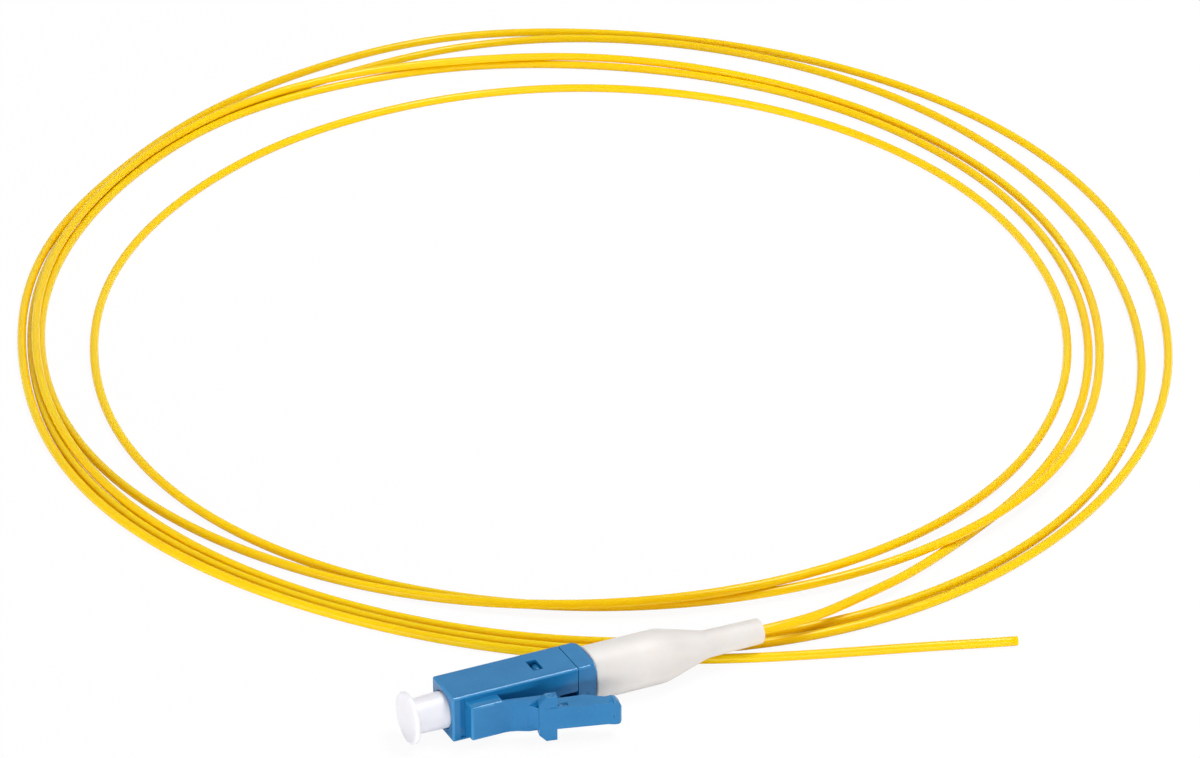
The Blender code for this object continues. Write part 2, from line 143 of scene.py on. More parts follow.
def smooth(places, values, wanted):
    """A cubic curve with no bend at its ends, through values at places, read at the wanted places."""
    places = np.array(places)
    values = np.array(values)
    gaps = np.diff(places)
    slopes = np.diff(values) / gaps
    rows = np.eye(len(places))
    right = np.zeros(len(places))
    for i in range(1, len(places) - 1):
        rows[i, i - 1:i + 2] = gaps[i - 1], 2 * (gaps[i - 1] + gaps[i]), gaps[i]
        right[i] = 6 * (slopes[i] - slopes[i - 1])
    bends = np.linalg.solve(rows, right)
    i = np.clip(np.searchsorted(places, wanted) - 1, 0, len(gaps) - 1)
    after = wanted - places[i]
    before = places[i + 1] - wanted
    curved = (bends[i] * before**3 + bends[i + 1] * after**3) / (6 * gaps[i])
    first = (values[i] / gaps[i] - bends[i] * gaps[i] / 6) * before
    second = (values[i + 1] / gaps[i] - bends[i + 1] * gaps[i] / 6) * after
    return curved + first + second


def fibre_places(bearings):
    """Points of the fibre's centre line at these bearings."""
    own, radii, heights = zip(*route_points())
    radius = smooth(own, radii, bearings)
    height = np.maximum(smooth(own, heights, bearings), 0)
    away = np.minimum(np.abs(bearings - HUMP_BEARING) / HUMP_HALF_WIDTH, 1)
    height += HUMP_LIFT * (1 + np.cos(math.pi * away)) / 2
    angle = np.radians(bearings)
    x = COIL.x + radius * np.cos(angle)
    y = COIL.y + radius * np.sin(angle)
    return np.stack([x, y, height + FIBRE_D / 2], axis=1)


def even_steps(points, step):
    """The same line with its points about step apart."""
    along = np.concatenate([[0], np.cumsum(np.linalg.norm(np.diff(points, axis=0), axis=1))])
    wanted = np.linspace(0, along[-1], round(along[-1] / step) + 1)
    return np.stack([np.interp(wanted, along, points[:, i]) for i in range(3)], axis=1), wanted


def mesh_from(name, shape):
    """A mesh that takes over a working shape."""
    mesh = bpy.data.meshes.new(name)
    shape.to_mesh(mesh)
    shape.free()
    return mesh


def tube_mesh(name, points, along, radii, sides):
    """A tube through points. Its UV map holds metres along it and the share of the way round from its top."""
    shape = bmesh.new()
    uv = shape.loops.layers.uv.new("UVMap")
    ways = np.gradient(points, axis=0)
    rings = []
    for point, way, radius in zip(points, ways, radii):
        way = Vector(way).normalized()
        side = way.cross(Vector((0, 0, 1))).normalized()
        top = side.cross(way)
        ring = []
        for i in range(sides):
            angle = 2 * math.pi * i / sides
            spoke = top * math.cos(angle) + side * math.sin(angle)
            ring.append(shape.verts.new(Vector(point) + spoke * radius))
        rings.append(ring)
    for k in range(len(rings) - 1):
        for i in range(sides):
            j = (i + 1) % sides
            face = shape.faces.new((rings[k][i], rings[k][j], rings[k + 1][j], rings[k + 1][i]))
            face.smooth = True
            spots = ((k, i), (k, i + 1), (k + 1, i + 1), (k + 1, i))
            for loop, (ring, turn) in zip(face.loops, spots):
                loop[uv].uv = (along[ring], turn / sides)
    shape.faces.new(rings[0])
    shape.faces.new(rings[-1][::-1])
    bmesh.ops.recalc_face_normals(shape, faces=shape.faces)
    return mesh_from(name, shape)


class Socket:
    """One output of a node. Python's operators on it add Math nodes to its tree."""

    def __init__(self, nodes, socket):
        self.nodes = nodes
        self.socket = socket

    def maths(self, operation, *values):
        """A Math node of these values, in this socket's tree."""
        return self.nodes.add("ShaderNodeMath", {"operation": operation}, dict(enumerate(values)))["Value"]

    def __add__(self, other):
        return self.maths("ADD", self, other)

    def __sub__(self, other):
        return self.maths("SUBTRACT", self, other)

    def __rsub__(self, other):
        return self.maths("SUBTRACT", other, self)

    def __mul__(self, other):
        return self.maths("MULTIPLY", self, other)

    def __truediv__(self, other):
        return self.maths("DIVIDE", self, other)

    __radd__ = __add__
    __rmul__ = __mul__


class Node:
    """A node that was added, whose outputs are read as node["name"]."""

    def __init__(self, nodes, node):
        self.nodes = nodes
        self.node = node

    def __getitem__(self, key):
        return Socket(self.nodes, self.node.outputs[key])


class Nodes:
    """A tree of nodes, of a finish or of a shape."""

    def __init__(self, tree):
        self.tree = tree

    def add(self, kind, settings=None, values=None):
        """A node of this type, with its settings first and then the values or links of its sockets."""
        node = self.tree.nodes.new(kind)
        for name, value in (settings or {}).items():
            setattr(node, name, value)
        for key, value in (values or {}).items():
            if isinstance(value, Socket):
                self.tree.links.new(value.socket, node.inputs[key])
            else:
                node.inputs[key].default_value = value
        return Node(self, node)

    def noise(self, place, scale, detail=2.0, roughness=0.5):
        """Even noise from 0 to 1 about 0.5, with this many grains to the metre."""
        values = {"Vector": place, "Scale": scale, "Detail": detail, "Roughness": roughness}
        return self.add("ShaderNodeTexNoise", None, values)["Fac"]

    def spread(self, value, low, high, start=0.0, end=1.0):
        """Maps low to high of a value onto start to end, and goes no further."""
        values = {0: value, 1: low, 2: high, 3: start, 4: end}
        return self.add("ShaderNodeMapRange", {"clamp": True}, values)["Result"]

    def mixed(self, share, first, second):
        """A colour between two others."""
        return self.add("ShaderNodeMix", {"data_type": "RGBA"}, {0: share, 6: first, 7: second})[2]

    def bumped(self, height, depth):
        """A normal from a height of 0 to 1 that stands for this depth in metres."""
        return self.add("ShaderNodeBump", None, {"Height": height, "Distance": depth})["Normal"]


def finish(name):
    """An empty material and its tree."""
    made = bpy.data.materials.new(name)
    made.use_nodes = True
    made.node_tree.nodes.clear()
    return made, Nodes(made.node_tree)


def close_finish(nodes, **sockets):
    """Ends a tree in one shader, whose sockets are named here with their spaces as underscores."""
    named = {key.replace("_", " "): value for key, value in sockets.items()}
    shader = nodes.add("ShaderNodeBsdfPrincipled", None, named)
    nodes.add("ShaderNodeOutputMaterial", None, {"Surface": shader["BSDF"]})


def colour(red, green, blue):
    """A colour given as it looks on a screen, from 0 to 255, made linear as the shader wants it."""
    shares = [value / 255 for value in (red, green, blue)]
    return (*(s / 12.92 if s < 0.0404 else ((s + 0.055) / 1.055) ** 2.4 for s in shares), 1.0)


YELLOW = colour(255, 205, 0)
YELLOW_DEEP = colour(255, 198, 0)
MARK_STRETCH = 12.0
MARK_GRAINS = 3.0
MARK_DEPTH = 0.001 * MM
FIBRE_TONE_GRAINS = 60.0


def yellow_buffer():
    """Extruded yellow jacket that light sinks into, with faint draw marks and a slow change of tone."""
    made, nodes = finish("yellow_buffer")
    uv = nodes.add("ShaderNodeTexCoord")["UV"]
    parts = nodes.add("ShaderNodeSeparateXYZ", None, {0: uv})
    turn = parts["Y"] * (2 * math.pi)
    around = nodes.add(
        "ShaderNodeCombineXYZ",
        None,
        {0: parts["X"] * MARK_STRETCH, 1: turn.maths("COSINE", turn), 2: turn.maths("SINE", turn)},
    )["Vector"]
    draw_marks = nodes.noise(around, MARK_GRAINS, detail=3.0)
    place = nodes.add("ShaderNodeTexCoord")["Object"]
    slow = nodes.noise(place, FIBRE_TONE_GRAINS)
    tone = nodes.spread(slow * 0.6 + draw_marks * 0.4, 0.35, 0.65)
    close_finish(
        nodes,
        Base_Color=nodes.mixed(tone, YELLOW, YELLOW_DEEP),
        Roughness=nodes.spread(draw_marks, 0.3, 0.7, 0.2, 0.3),
        Specular_IOR_Level=0.25,
        Subsurface_Weight=1.0,
        Subsurface_Radius=(1.0, 0.9, 0.2),
        Subsurface_Scale=1.0 * MM,
        Normal=nodes.bumped(draw_marks, MARK_DEPTH),
    )
    return made


def add_piece(name, mesh, body, slot, *nodes):
    """A finished piece that stands for its CAD nodes. Its slot argument is not used.

    It rides on a body, or, given two as (first, second, start, end), stays fixed where it is and does not
    bend.
    """
    piece = bpy.data.objects.new(name, mesh)
    scene.collection.objects.link(piece)
    if isinstance(body, str):
        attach(piece, body)
    else:
        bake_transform(piece)
    if nodes:
        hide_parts(*nodes)
    return piece


CORE_CLEAR = colour(226, 226, 218)
CORE_CLOUDY = colour(205, 207, 204)
CORE_GRAINS = 9000.0
FINE_DEPTH = 0.004 * MM

own = [point[0] for point in route_points()]
into_boot = BOOT_EXIT - Vector((FIBRE_IN_BOOT, 0, 0))
fine = np.concatenate([[into_boot, BOOT_EXIT], fibre_places(np.linspace(own[1], own[-1], ROUTE_SAMPLES))])
centre_line, along = even_steps(fine, FIBRE_STEP)
last_way = (centre_line[-1] - centre_line[-2]) / FIBRE_STEP
route = np.concatenate([centre_line, [centre_line[-1] + last_way * CUT_EASE]])
radii = np.append(np.full(len(centre_line), FIBRE_D / 2), FIBRE_D / 2 - CUT_EASE)
fibre_mesh = tube_mesh("pigtail_fibre", route, np.append(along, along[-1]), radii, FIBRE_SIDES)
fibre_mesh.materials.append(yellow_buffer())
fibre = add_piece("pigtail_fibre", fibre_mesh, "plug", "yellow_buffer", "fibre")

core_points = np.array([route[-1] - last_way * FIBRE_STEP, route[-1] + last_way * CORE_PROUD])
core_mesh = tube_mesh("fibre_core", core_points, [0, FIBRE_STEP], [CORE_D / 2, CORE_D / 2], CORE_SIDES)
made, nodes = finish("fibre_coating")
place = nodes.add("ShaderNodeTexCoord")["Object"]
clear_grain = nodes.noise(place, CORE_GRAINS)
close_finish(
    nodes,
    Base_Color=nodes.mixed(clear_grain, CORE_CLEAR, CORE_CLOUDY),
    Roughness=nodes.spread(clear_grain, 0.3, 0.7, 0.12, 0.3),
    Normal=nodes.bumped(clear_grain, FINE_DEPTH),
)
core_mesh.materials.append(made)
core = add_piece("fibre_core", core_mesh, "plug", "yellow_buffer")

# Front housing
#
# A square moulding in glossy blue plastic, open along its middle. Its nose takes the ferrule and the
# dust cap, its two windows hold the snap tabs of the back body, and the latch's root sits on its side.
# Places along the plug are measured from the nose's face, and the plug's axis is at y = 0, z = 0.

PLUG = Matrix.Translation(Vector((-14.21, 2.313, 2.55)) * MM)
HALF = 2.26 * MM
BODY_L = 12.4 * MM
CORNER_R = 0.2 * MM
FRONT_R = 0.9 * CORNER_R
SEAM_R = 0.05 * MM
CUT_R = 0.035 * MM
NOSE_BORE_R = 1.8 * MM
NOSE_BORE_L = 3.2 * MM
SHOULDER_R = 1.0 * MM
SHOULDER_END = 4.2 * MM
GROOVE = (0.75 * MM, 1.3 * MM, 0.2 * MM)
GROOVE_HALF = 1.98 * MM
WINDOW = (8.6 * MM, 9.6 * MM, 0.88 * MM)
SLOT_START = 10.6 * MM
SLOT_TOP = -0.12 * MM
SLOT_LOW = -0.95 * MM
SLOT_DEPTH = 0.9 * MM
OVERCUT = 1.0 * MM
SMOOTH_SIDES = 96
MERGE_GAP = 1e-7
FLAT_WEIGHT = 60
EDGE_BEND = math.radians(6)
EDGE_BEND_RANGE = math.radians(8)
EDGE_WIDTH = 0.2 * MM
EDGE_FADE = 0.08 * MM
BLUE = colour(33, 124, 180)
BLUE_DEEP = colour(22, 114, 171)
# Paler blue for rounded edges: partly edge wear, partly a painted highlight where the lights glint.
BLUE_WORN_AND_HIGHLIT = colour(62, 146, 200)
TONE_GRAINS = 260.0
SKIN_GRAINS = 7000.0
RUB_GRAINS = (500.0, 5200.0, 5200.0)


def moulded(name, main, deep, worn_and_highlit, roughness, grain_depth, scatter=0.0):
    """A moulded plastic: a slow change of tone, fine grain, faint rubbed lines and smoother edges, painted
    paler for wear and as a painted highlight.
    """
    made, nodes = finish(name)
    place = nodes.add("ShaderNodeTexCoord")["Object"]
    edge = nodes.add("ShaderNodeAttribute", {"attribute_name": "edge"})["Fac"]
    slow = nodes.noise(place, TONE_GRAINS, detail=3.0)
    grain = nodes.noise(place, SKIN_GRAINS, detail=3.0, roughness=0.6)
    drawn = nodes.add("ShaderNodeMapping", None, {"Vector": place, "Scale": RUB_GRAINS})["Vector"]
    rubbed = nodes.spread(nodes.noise(drawn, 1.0, 2.0), 0.62, 0.72)
    tone = nodes.spread(slow * 0.75 + grain * 0.25, 0.36, 0.64)
    base = nodes.mixed(tone, main, deep)
    # Rounded edges are painted paler: partly wear, partly a painted highlight along the edge.
    wear_and_highlight = edge * nodes.spread(slow, 0.3, 0.6, 0.1, 0.7)
    matt = nodes.spread(slow, 0.3, 0.7, roughness - 0.04, roughness + 0.05)
    close_finish(
        nodes,
        Base_Color=nodes.mixed(wear_and_highlight, base, worn_and_highlit),
        Roughness=matt + rubbed * 0.06 - wear_and_highlight * 0.08,
        Specular_IOR_Level=0.5,
        Subsurface_Weight=scatter,
        Subsurface_Radius=(1.0, 0.8, 0.7),
        Subsurface_Scale=1.2 * MM,
        Normal=nodes.bumped(grain * 0.8 + rubbed * 0.2, grain_depth),
    )
    return made


blue_finish = moulded("blue_moulding", BLUE, BLUE_DEEP, BLUE_WORN_AND_HIGHLIT, roughness=0.2, grain_depth=FINE_DEPTH)


def working(name, mesh):
    """A working solid, which joins or cuts another before it becomes part of a piece."""
    thing = bpy.data.objects.new(name, mesh)
    scene.collection.objects.link(thing)
    return thing


def settled(thing):
    """The solid with its modifiers applied."""
    bpy.context.view_layer.update()
    evaluated = thing.evaluated_get(bpy.context.evaluated_depsgraph_get())
    mesh = bpy.data.meshes.new_from_object(evaluated)
    thing.modifiers.clear()
    thing.data = mesh
    return thing


def combined(thing, operation, *others):
    """The solid with others joined to it or cut from it. They are used up."""
    for other in others:
        modifier = thing.modifiers.new(other.name, "BOOLEAN")
        modifier.operation = operation
        modifier.solver = "EXACT"
        modifier.object = other
    settled(thing)
    for other in others:
        bpy.data.objects.remove(other)
    return thing


def eased(thing, width, steps, angle):
    """The solid with its sharp edges rounded, as a polished mould leaves them."""
    modifier = thing.modifiers.new("eased", "BEVEL")
    modifier.width = width
    modifier.segments = steps
    modifier.limit_method = "ANGLE"
    modifier.angle_limit = math.radians(angle)
    return settled(thing)


def box(name, low, high):
    """A box between two corners, given in metres."""
    low = Vector(low)
    size = Vector(high) - low
    shape = bmesh.new()
    place = Matrix.Translation(low + size / 2) @ Matrix.Diagonal((*size, 1.0))
    bmesh.ops.create_cube(shape, size=1.0, matrix=place)
    return working(name, mesh_from(name, shape))


def rod(name, radius, start, end, sides=SMOOTH_SIDES):
    """A cylinder along the plug between two places."""
    shape = bmesh.new()
    place = Matrix.Translation(((start + end) / 2, 0, 0)) @ Matrix.Rotation(math.pi / 2, 4, "Y")
    bmesh.ops.create_cone(
        shape, cap_ends=True, segments=sides, radius1=radius, radius2=radius, depth=end - start, matrix=place
    )
    return working(name, mesh_from(name, shape))


def dimple(radius, place):
    """A small ball that cuts a shallow hollow."""
    shape = bmesh.new()
    bmesh.ops.create_icosphere(shape, subdivisions=2, radius=radius, matrix=Matrix.Translation(place))
    return working("dimple", mesh_from("dimple", shape))


def square_body(name, start, end, front_r, rear_r):
    """The square section with rounded corners, and its own rounding at each end."""
    shape = bmesh.new()
    middle = Vector(((start + end) / 2, 0, 0))
    place = Matrix.Translation(middle) @ Matrix.Diagonal((end - start, 2 * HALF, 2 * HALF, 1.0))
    bmesh.ops.create_cube(shape, size=1.0, matrix=place)

    def chosen(test):
        return [edge for edge in shape.edges if test(*(vert.co.x for vert in edge.verts))]

    def rounded(edges, radius, steps):
        bmesh.ops.bevel(
            shape, geom=edges, offset=radius, segments=steps, profile=0.5, affect="EDGES", clamp_overlap=True
        )

    near = 1e-6
    rounded(chosen(lambda a, b: abs(a - b) > near), CORNER_R, steps=5)
    rounded(chosen(lambda a, b: abs(a - start) < near and abs(b - start) < near), front_r, steps=4)
    rounded(chosen(lambda a, b: abs(a - end) < near and abs(b - end) < near), rear_r, steps=3)
    return working(name, mesh_from(name, shape))


def edge_share(face):
    """How far a face is part of a rounded edge: narrow, and turned from the faces beside it."""
    bends = [edge.calc_face_angle(0.0) * edge.calc_length() for edge in face.edges]
    bend = sum(bends) / face.calc_perimeter()
    width = 2 * face.calc_area() / face.calc_perimeter()
    turned_away = min(max((bend - EDGE_BEND) / EDGE_BEND_RANGE, 0.0), 1.0)
    return turned_away * min(max((EDGE_WIDTH - width) / EDGE_FADE, 0.0), 1.0)


def merged(mesh):
    """The mesh as a working shape, with its doubled points merged and its faces turned outwards."""
    shape = bmesh.new()
    shape.from_mesh(mesh)
    bmesh.ops.remove_doubles(shape, verts=shape.verts, dist=MERGE_GAP)
    bmesh.ops.recalc_face_normals(shape, faces=shape.faces)
    return shape


def finished(thing, name, material, body, slot, *nodes):
    """Makes a working solid a piece: merged, smooth over its rounded edges, and marked on them for paler wear
    and a painted highlight.
    """
    mesh = thing.data
    shape = merged(mesh)
    shares = [edge_share(face) for face in shape.faces]
    shape.to_mesh(mesh)
    shape.free()
    mesh.attributes.new("edge", "FLOAT", "FACE").data.foreach_set("value", shares)
    mesh.transform(PLUG)
    mesh.shade_smooth()
    modifier = thing.modifiers.new("flat faces", "WEIGHTED_NORMAL")
    modifier.keep_sharp = False
    modifier.weight = FLAT_WEIGHT
    settled(thing)
    thing.data.name = name
    thing.data.materials.clear()
    thing.data.materials.append(material)
    made = thing.data
    bpy.data.objects.remove(thing)
    return add_piece(name, made, body, slot, *nodes)


housing = square_body("housing", 0.0, BODY_L, FRONT_R, SEAM_R)
combined(
    housing,
    "DIFFERENCE",
    rod("nose_bore", NOSE_BORE_R, -OVERCUT, NOSE_BORE_L),
    rod("shoulder", SHOULDER_R, NOSE_BORE_L - OVERCUT, SHOULDER_END + OVERCUT),
    rod("rear_bore", NOSE_BORE_R, SHOULDER_END, BODY_L + OVERCUT),
    box("groove", (GROOVE[0], -2 * HALF, -GROOVE_HALF), (GROOVE[1], -HALF + GROOVE[2], GROOVE_HALF)),
    box("windows", (WINDOW[0], -WINDOW[2], -2 * HALF), (WINDOW[1], WINDOW[2], 2 * HALF)),
    box("slot", (SLOT_START, -2 * HALF, SLOT_LOW), (BODY_L + OVERCUT, -HALF + SLOT_DEPTH, SLOT_TOP)),
)
eased(housing, CUT_R, steps=2, angle=50)
finished(housing, "front_housing_shell", blue_finish, "plug", "blue_moulding", "front_housing")

# Latch
#
# The spring arm and the block it grows from, one moulding with the front housing. A rib with two catch
# ears stiffens it, and its free end is the tab that a thumb presses. The arm bends at its thin root.

HINGE = Vector((4.725, -3.515, 0)) * MM
LATCH_ANGLE = math.radians(11.5)
# Values without MM, here and in outlines, are in millimetres.
ROOT_START = 1.25
ROOT_END = 4.4
ROOT_OUTER = -3.64
ROOT_INNER = -3.29
ROOT_HALF = 1.7
ARM_HALF = 1.6
RIB_HALF = 1.1
ROOT_R = 0.2 * MM
ARM_R = 0.1 * MM
ARC_STEPS = 6
NOTCH_LOW = (4.36 * MM, -1.3 * MM, 0.92 * MM)
NOTCH_HIGH = (5.4 * MM, -0.72 * MM, 1.5 * MM)
MARKS = (
    (3.55, -1.0, 2.3, 0.13),
    (3.85, -1.22, 2.3, 0.13),
    (4.08, -0.95, 2.3, 0.13),
    (9.05, -1.9, 1.1, 0.13),
    (9.45, -1.92, 1.05, 0.13),
    (9.5, -1.95, -0.3, 0.17),
)
BEND_START = 4.45
BEND_GAP = 0.09
BEND_CUTS = 9
HINGE_REACH = 0.38 * MM


def outlined(name, outline, bottom, top, turn=Matrix.Identity(4)):
    """A flat outline of points in millimetres, given its thickness from bottom to top."""
    shape = bmesh.new()
    low = [shape.verts.new((x * MM, y * MM, bottom * MM)) for x, y in outline]
    high = [shape.verts.new((x * MM, y * MM, top * MM)) for x, y in outline]
    shape.faces.new(low)
    shape.faces.new(high[::-1])
    for i in range(len(outline)):
        j = (i + 1) % len(outline)
        shape.faces.new((low[i], low[j], high[j], high[i]))
    bmesh.ops.recalc_face_normals(shape, faces=shape.faces)
    mesh = mesh_from(name, shape)
    mesh.transform(turn)
    return working(name, mesh)


def arc(centre_x, centre_y, radius, first, last):
    """Points on an arc between two angles in degrees."""
    angles = [math.radians(first + (last - first) * i / ARC_STEPS) for i in range(ARC_STEPS + 1)]
    return [(centre_x + radius * math.cos(a), centre_y + radius * math.sin(a)) for a in angles]


slant = Matrix.Translation(HINGE) @ Matrix.Rotation(-LATCH_ANGLE, 4, "Z")
upright = Matrix.Rotation(math.pi / 2, 4, "X")


def slanted(x, y):
    """A place in the arm's own frame, in millimetres along the plug."""
    point = slant @ Vector((x * MM, y * MM, 0))
    return (point.x / MM, point.y / MM)


arm_side = [
    (3.4, ROOT_INNER),
    (3.4, ROOT_OUTER),
    (ROOT_END, ROOT_OUTER),
    (4.9, ROOT_OUTER - 0.06),
    slanted(0.9, -0.22),
    slanted(1.93, -0.52),
    slanted(4.3, -0.52),
    slanted(4.3, 0.125),
    slanted(1.5, 0.18),
    (HINGE.x / MM, ROOT_INNER),
]
rib_side = [(1.93, 0.12), (1.93, -0.5), (2.93, -1.485), (9.2, -1.88)]
rib_side += arc(9.95, -1.68, 0.22, 270, 360)
rib_side += arc(9.57, -1.2, 0.6, 0, 90)
rib_side += [(8.8, -0.62), (7.2, 0.12)]
rib_rise = [(1.0, -RIB_HALF), (8.9, -RIB_HALF), (9.5, -RIB_HALF - 0.1)]
rib_rise += arc(9.77, -RIB_HALF + 0.3, 0.4, 270, 360)
rib_rise += arc(9.42, RIB_HALF - 0.7, 0.75, 0, 90)
rib_rise += [(8.9, RIB_HALF), (1.0, RIB_HALF)]
ear_plan = [(4.3, -2.26), (4.3, 2.26), (3.3, 2.26), (2.64, 1.6), (2.64, -1.6), (3.3, -2.26)]

rib = outlined("rib", rib_side, bottom=-1.5, top=1.5, turn=slant)
combined(rib, "INTERSECT", outlined("rib_rise", rib_rise, bottom=-1.0, top=3.0, turn=slant @ upright))
latch = box(
    "latch",
    (ROOT_START * MM, ROOT_OUTER * MM, -ROOT_HALF * MM),
    (ROOT_END * MM, -HALF + GROOVE[2] / 2, ROOT_HALF * MM),
)
eased(latch, ROOT_R, steps=5, angle=50)
combined(
    latch,
    "UNION",
    outlined("arm", arm_side, -ARM_HALF, ARM_HALF),
    rib,
    outlined("ears", ear_plan, bottom=0.685, top=1.485, turn=slant @ upright),
)
eased(latch, ARM_R, steps=3, angle=28)
notch = box("notch", NOTCH_LOW, NOTCH_HIGH)
notch.data.transform(slant)
marks = [dimple(radius * MM, slant @ (Vector((x, y, z)) * MM)) for x, y, z, radius in MARKS]
combined(latch, "DIFFERENCE", notch, *marks)
bend = bmesh.new()
bend.from_mesh(latch.data)
for step in range(BEND_CUTS):
    x = (BEND_START + step * BEND_GAP) * MM
    everything = bend.verts[:] + bend.edges[:] + bend.faces[:]
    bmesh.ops.bisect_plane(bend, geom=everything, plane_co=(x, 0, 0), plane_no=(1, 0, 0), dist=1e-8)
bend.to_mesh(latch.data)
bend.free()
hinge_place = PLUG @ HINGE
reach = Vector((HINGE_REACH, 0, 0))
finished(
    latch,
    "latch_arm",
    blue_finish,
    ("plug", "latch", hinge_place - reach * 0.8, hinge_place + reach * 1.2),
    "blue_moulding",
    "latch",
)

# Back body
#
# The blue moulding behind the seam. Its collar is square in front and domed towards the boot. A spigot
# with two snap tabs reaches into the housing, and the boot is pushed on the post behind it.

COLLAR_X = 12.46 * MM
COLLAR_END = 14.26 * MM
DOME_START = 13.16 * MM
DOME_END_R = 2.55 * MM
DOME_FROM = 12.0
DOME_STEPS = 18
DOME_R = 0.06 * MM
COLLAR_MARK = (13.4 * MM, -HALF - 0.06 * MM, -0.62 * MM)
COLLAR_MARK_R = 0.16 * MM
OVERLAP = 0.5 * MM
TAB_HALF = 0.5
SPIGOT_R = 1.7 * MM
SPIGOT_X = 8.26 * MM
POST_R = 1.5 * MM
POST_END = 17.46 * MM
FIBRE_WAY_R = 1.05 * MM

collar = square_body("collar", COLLAR_X, COLLAR_END, SEAM_R, SEAM_R)
corner_r = HALF * math.sqrt(2)
dome_outline = []
for step in range(DOME_STEPS + 1):
    angle = math.pi / 2 * step / DOME_STEPS
    x = COLLAR_END - (COLLAR_END - DOME_START) * (1 - math.cos(angle))
    dome_outline.append((x / MM, (DOME_END_R + (corner_r - DOME_END_R) * math.sin(angle)) / MM))


def shape_tree(name, **inputs):
    """An empty tree that makes a shape. Its inputs are given by kind, with their spaces as underscores."""
    tree = bpy.data.node_groups.new(name, "GeometryNodeTree")
    for key, kind in inputs.items():
        tree.interface.new_socket(key.replace("_", " "), in_out="INPUT", socket_type="NodeSocket" + kind)
    tree.interface.new_socket("Shape", in_out="OUTPUT", socket_type="NodeSocketGeometry")
    nodes = Nodes(tree)
    return tree, nodes, nodes.add("NodeGroupInput")


def close_shape(nodes, geometry, material):
    """Ends a tree in real geometry with its finish on it."""
    realized = nodes.add("GeometryNodeRealizeInstances", None, {"Geometry": geometry})["Geometry"]
    dressed = nodes.add("GeometryNodeSetMaterial", None, {"Geometry": realized, "Material": material})
    nodes.add("NodeGroupOutput", None, {0: dressed["Geometry"]})


def turning_tree():
    """A tree that turns an outline of (place along the plug, radius) about the plug's axis."""
    tree, nodes, given = shape_tree("turned_about_axis", Outline="Geometry", Facets="Int", Finish="Material")
    counted = {"Geometry": given["Outline"]}
    size = nodes.add("GeometryNodeAttributeDomainSize", {"component": "MESH"}, counted)["Point Count"]
    grid_size = {"Vertices X": given["Facets"] + 1, "Vertices Y": size}
    grid = nodes.add("GeometryNodeMeshGrid", None, grid_size)["Mesh"]
    index = nodes.add("GeometryNodeInputIndex")["Index"]
    angle = index.maths("FLOOR", (index + 0.5) / size) * (2 * math.pi) / given["Facets"]
    spot = index.maths("FLOORED_MODULO", index, size)
    own_place = nodes.add("GeometryNodeInputPosition")["Position"]
    drawn = nodes.add(
        "GeometryNodeSampleIndex",
        {"data_type": "FLOAT_VECTOR", "domain": "POINT"},
        {"Geometry": given["Outline"], "Value": own_place, "Index": spot},
    )["Value"]
    parts = nodes.add("ShaderNodeSeparateXYZ", None, {0: drawn})
    place = nodes.add(
        "ShaderNodeCombineXYZ",
        None,
        {
            0: parts["X"],
            1: parts["Y"] * angle.maths("COSINE", angle),
            2: parts["Y"] * angle.maths("SINE", angle),
        },
    )["Vector"]
    moved = nodes.add("GeometryNodeSetPosition", None, {"Geometry": grid, "Position": place})["Geometry"]
    closed = nodes.add("GeometryNodeMergeByDistance", None, {"Geometry": moved, "Distance": MERGE_GAP})
    close_shape(nodes, closed["Geometry"], given["Finish"])
    return tree


turning = turning_tree()


def shaped(thing, tree, **sizes):
    """The solid that a tree makes from the sizes of its inputs, which are named as in shape_tree."""
    modifier = thing.modifiers.new(tree.name, "NODES")
    modifier.node_group = tree
    for item in tree.interface.items_tree:
        key = item.name.replace(" ", "_")
        if item.in_out == "INPUT" and key in sizes:
            modifier[item.identifier] = sizes[key]
    settled(thing)
    shape = merged(thing.data)
    shape.to_mesh(thing.data)
    shape.free()
    return thing


def turned(name, outline, material):
    """A solid turned from a closed outline of (place along the plug, radius) in millimetres."""
    ring = [(x * MM, radius * MM, 0) for x, radius in (*outline, outline[0])]
    mesh = bpy.data.meshes.new(name)
    mesh.from_pydata(ring, [(i, i + 1) for i in range(len(outline))], [])
    return shaped(working(name, mesh), turning, Facets=SMOOTH_SIDES, Finish=material)


dome_outline += [(DOME_FROM, corner_r / MM), (DOME_FROM, 0), (COLLAR_END / MM, 0)]
combined(collar, "INTERSECT", turned("dome", dome_outline, blue_finish))
eased(collar, DOME_R, steps=3, angle=24)
combined(collar, "DIFFERENCE", dimple(COLLAR_MARK_R, COLLAR_MARK))
inner = rod("spigot", SPIGOT_R, SPIGOT_X, COLLAR_X + OVERLAP)
tab_side = [(8.95, -1.5), (8.95, 1.6), (9.12, 2.0), (9.48, 2.0), (9.48, -1.5)]
combined(
    inner,
    "UNION",
    rod("post", POST_R, COLLAR_END - OVERLAP, POST_END),
    outlined("snap_tab_top", tab_side, -TAB_HALF, TAB_HALF, upright),
    outlined("snap_tab_low", [(x, -z) for x, z in tab_side], -TAB_HALF, TAB_HALF, upright),
)
combined(collar, "UNION", inner)
fibre_way = rod("fibre_way", FIBRE_WAY_R, SPIGOT_X - OVERCUT, POST_END + OVERCUT, sides=48)
combined(collar, "DIFFERENCE", fibre_way)
finished(collar, "back_body_shell", blue_finish, "plug", "blue_moulding", "back_body")

# Ferrule, holder and spring
#
# The ground zirconia ferrule is pressed into a turned, nickelled holder. A wire spring between the
# holder's flange and the back body pushes both forward, and they float back a little when the plug mates.

